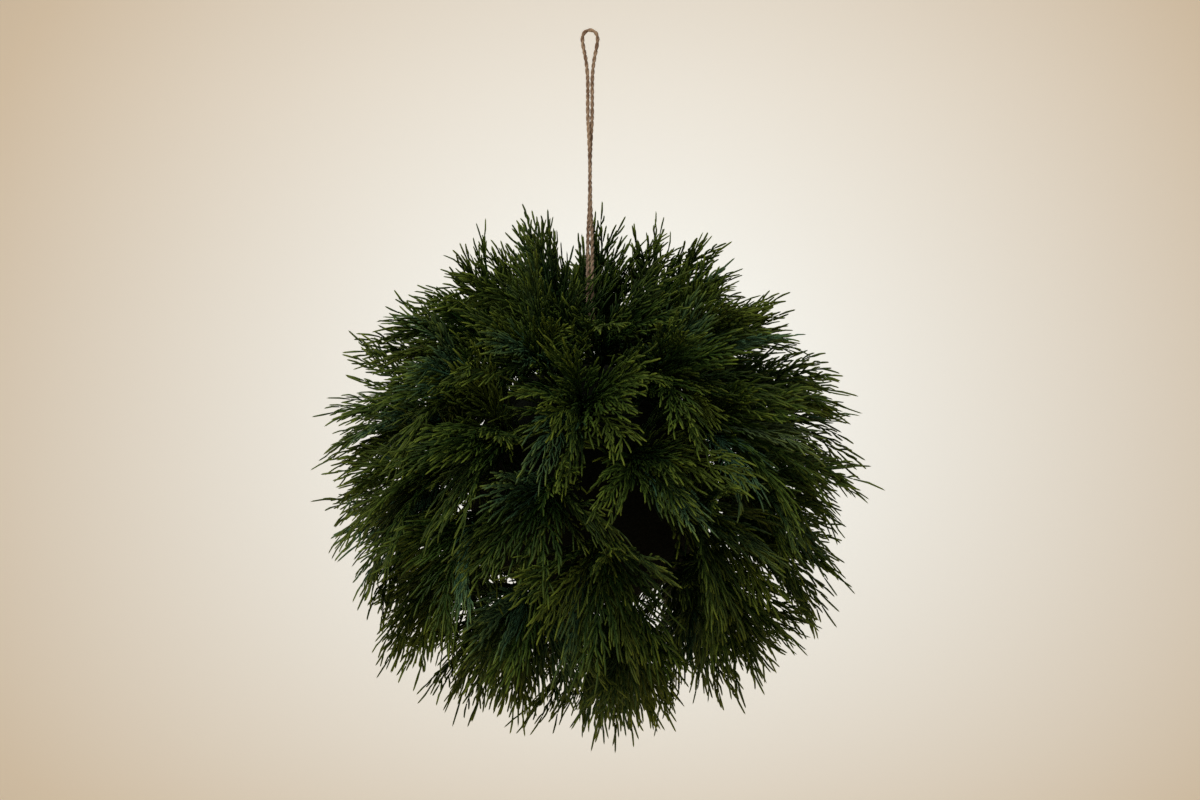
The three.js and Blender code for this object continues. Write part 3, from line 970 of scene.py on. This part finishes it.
def spread_maps(mesh):
    """Gives each rod and needle its own cell of the mesh's map, so that none of them share a place on it."""
    layer = mesh.uv_layers["OFBake"]
    spots = np.empty(len(mesh.loops) * 2, np.float32)
    layer.data.foreach_get("uv", spots)
    spots = spots.reshape(-1, 2)
    corners = len(needle_shape.data.loops)
    cell = np.arange(len(spots)) // corners
    grid = math.ceil(math.sqrt(cell[-1] + 1))
    spots = 0.08 + 0.84 * spots
    spots[:, 0] = (spots[:, 0] + cell % grid) / grid
    spots[:, 1] = (spots[:, 1] + cell // grid) / grid
    layer.data.foreach_set("uv", spots.ravel())


cedar = cedar_material()
spray = spray_tree()
for shape in (needle_shape, twig_shape):
    bpy.context.scene.collection.objects.link(shape)

# Every frond grows on the stem nearest to its own direction
stems = [root for _, root in planting(SPRIGS, stem_droop)]
grown_on = [[] for _ in stems]
long_fronds = [(*frond, False) for frond in planting(LONG_FRONDS, frond_droop)]
short_fronds = [(*frond, True) for frond in planting(SHORT_FRONDS, stem_droop)]
all_fronds = long_fronds + short_fronds
planted = [
    (*frond, number, frond_end(frond[0], number, frond[2])) for number, frond in enumerate(all_fronds)
]
for i, (degrees, round_twine, end) in enumerate(TUFTS):
    tip_polar = math.radians(degrees)
    root = toward(risen(tip_polar, frond_droop(tip_polar)), math.radians(round_twine))
    planted.append((tip_polar, root, False, len(all_fronds) + i, end))
for tip_polar, root, short, number, end in planted:
    owner = max(range(SPRIGS), key=lambda i: stems[i].dot(root))
    grown_on[owner].append((root, tip_polar, number, short, end))
for i, fronds in enumerate(grown_on):
    stem = stems[i]
    foot, fork = MIDDLE + stem * STEM_FOOT, MIDDLE + stem * STEM_FORK
    side = stem.orthogonal().normalized()
    twigs = [
        {"at": foot, "aim": fork - foot, "bend": Vector((0, 0, 0)), "face": side, "girth": STEM_GIRTH,
         "reach": 0.01, "tip": 0.0, "tip_end": 0.0, "tone": 0.2}
    ]
    for root, tip_polar, number, short, end in fronds:
        if not hides_twine(stem, root, tip_polar, short):
            twigs += frond_twigs(stem, root, tip_polar, number, short, end)
    values = {"Needle": needle_shape, "Twig": twig_shape, "Seed": i + 1, "Moulding": cedar}
    piece = grown(f"sprig_piece_{i + 1:02d}", twig_cloud(f"twigs_{i + 1:02d}", twigs), spray, values)
    spread_maps(piece.data)
    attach(piece, "root")
    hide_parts(f"sprig_{i + 1:02d}")
for shape in (needle_shape, twig_shape):
    bpy.data.objects.remove(shape)


# The backdrop
# A seamless roll of pale uncoated paper, far below and behind the ball. It is matt, and painted paler in the
# middle than at its edges, where it turns a warm cream, as a painted pool of light; its own faint glow stands
# for the even light of a room.

paper = bpy.data.materials.new("paper, cream, matt")
paper.use_nodes = True
paper_tree = paper.node_tree
paper_place = add(paper_tree, "ShaderNodeTexCoord").outputs["Object"]
# Painted light: the colour is palest round this point behind the ball and darker and warmer towards the
# edges, a painted pool of light on cream paper that feeds the glow as well
light_pool_centred = add(
    paper_tree, "ShaderNodeVectorMath", {0: paper_place, 1: (0.04, 2.5, -0.24)}, operation="SUBTRACT"
).outputs[0]
light_pool_far = add(paper_tree, "ShaderNodeVectorMath", {0: light_pool_centred}, operation="LENGTH").outputs["Value"]
light_pool_way = add(paper_tree, "ShaderNodeMath", {0: light_pool_far, 1: 1.5}, operation="DIVIDE").outputs[0]
paper_and_light_pool_ramp = add(paper_tree, "ShaderNodeValToRGB", {"Fac": light_pool_way})
paper_and_light_pool_ramp.color_ramp.elements[0].position = 0.16
paper_and_light_pool_ramp.color_ramp.elements[0].color = linear("edeeea")
paper_and_light_pool_ramp.color_ramp.elements[1].position = 0.66
paper_and_light_pool_ramp.color_ramp.elements[1].color = linear("c8b8a1")
paper_and_light_pool_ramp.color_ramp.elements.new(1.0).color = linear("a8957c")
paper_grain = add(
    paper_tree, "ShaderNodeTexNoise", {"Vector": paper_place, "Scale": 300.0, "Detail": 3.0}
).outputs[0]
paper_rough = add(
    paper_tree, "ShaderNodeMapRange", {"Value": paper_grain, "To Min": 0.85, "To Max": 1.0}
).outputs[0]
paper_bump = add(
    paper_tree, "ShaderNodeBump", {"Height": paper_grain, "Strength": 0.05, "Distance": 0.0002}
).outputs[0]
paper_shader = paper_tree.nodes["Principled BSDF"]
paper_tree.links.new(paper_and_light_pool_ramp.outputs[0], paper_shader.inputs["Base Color"])
paper_tree.links.new(paper_and_light_pool_ramp.outputs[0], paper_shader.inputs["Emission Color"])
paper_tree.links.new(paper_rough, paper_shader.inputs["Roughness"])
paper_tree.links.new(paper_bump, paper_shader.inputs["Normal"])
paper_shader.inputs["Emission Strength"].default_value = 0.71

sweep = [(-3.0, -0.78)]
for degrees in range(-90, 1, 6):
    turn = math.radians(degrees)
    sweep.append((1.6 + math.cos(turn), 0.22 + math.sin(turn)))
sweep.append((2.6, 3.0))
sweep_verts = [(x, y, z) for y, z in sweep for x in (-4.0, 4.0)]
sweep_faces = [(2 * i, 2 * i + 1, 2 * i + 3, 2 * i + 2) for i in range(len(sweep) - 1)]
backdrop_mesh = bpy.data.meshes.new("backdrop")
backdrop_mesh.from_pydata(sweep_verts, [], sweep_faces)
backdrop_mesh.materials.append(paper)
backdrop_mesh.shade_smooth()
backdrop = bpy.data.objects.new("backdrop", backdrop_mesh)
bpy.context.scene.collection.objects.link(backdrop)


# The light
# One broad soft light high in front and to the left, a weaker one low on each side, and a pale room.


def softbox(name, place, size, power, colour):
    """A square soft light that faces the middle of the ball."""
    data = bpy.data.lights.new(name, "AREA")
    data.shape = "SQUARE"
    data.size = size
    data.energy = power
    data.color = linear(colour)[:3]
    lamp = bpy.data.objects.new(name, data)
    lamp.location = place
    lamp.rotation_euler = (MIDDLE - Vector(place)).to_track_quat("-Z", "Y").to_euler()
    bpy.context.scene.collection.objects.link(lamp)


softbox("key", (-0.6, -1.3, 1.4), 1.0, 21.0, "fffaf2")
softbox("fill", (1.6, -1.4, 0.4), 1.2, 2.5, "f6faff")
softbox("side", (-1.7, -0.9, 0.1), 1.2, 3.5, "fffaf2")
world = bpy.data.worlds.new("room")
world.use_nodes = True
world.node_tree.nodes["Background"].inputs["Color"].default_value = linear("f2f0ea")
world.node_tree.nodes["Background"].inputs["Strength"].default_value = 0.12
bpy.context.scene.world = world
bpy.context.scene.view_settings.view_transform = "Standard"
bpy.context.scene.view_settings.look = "None"
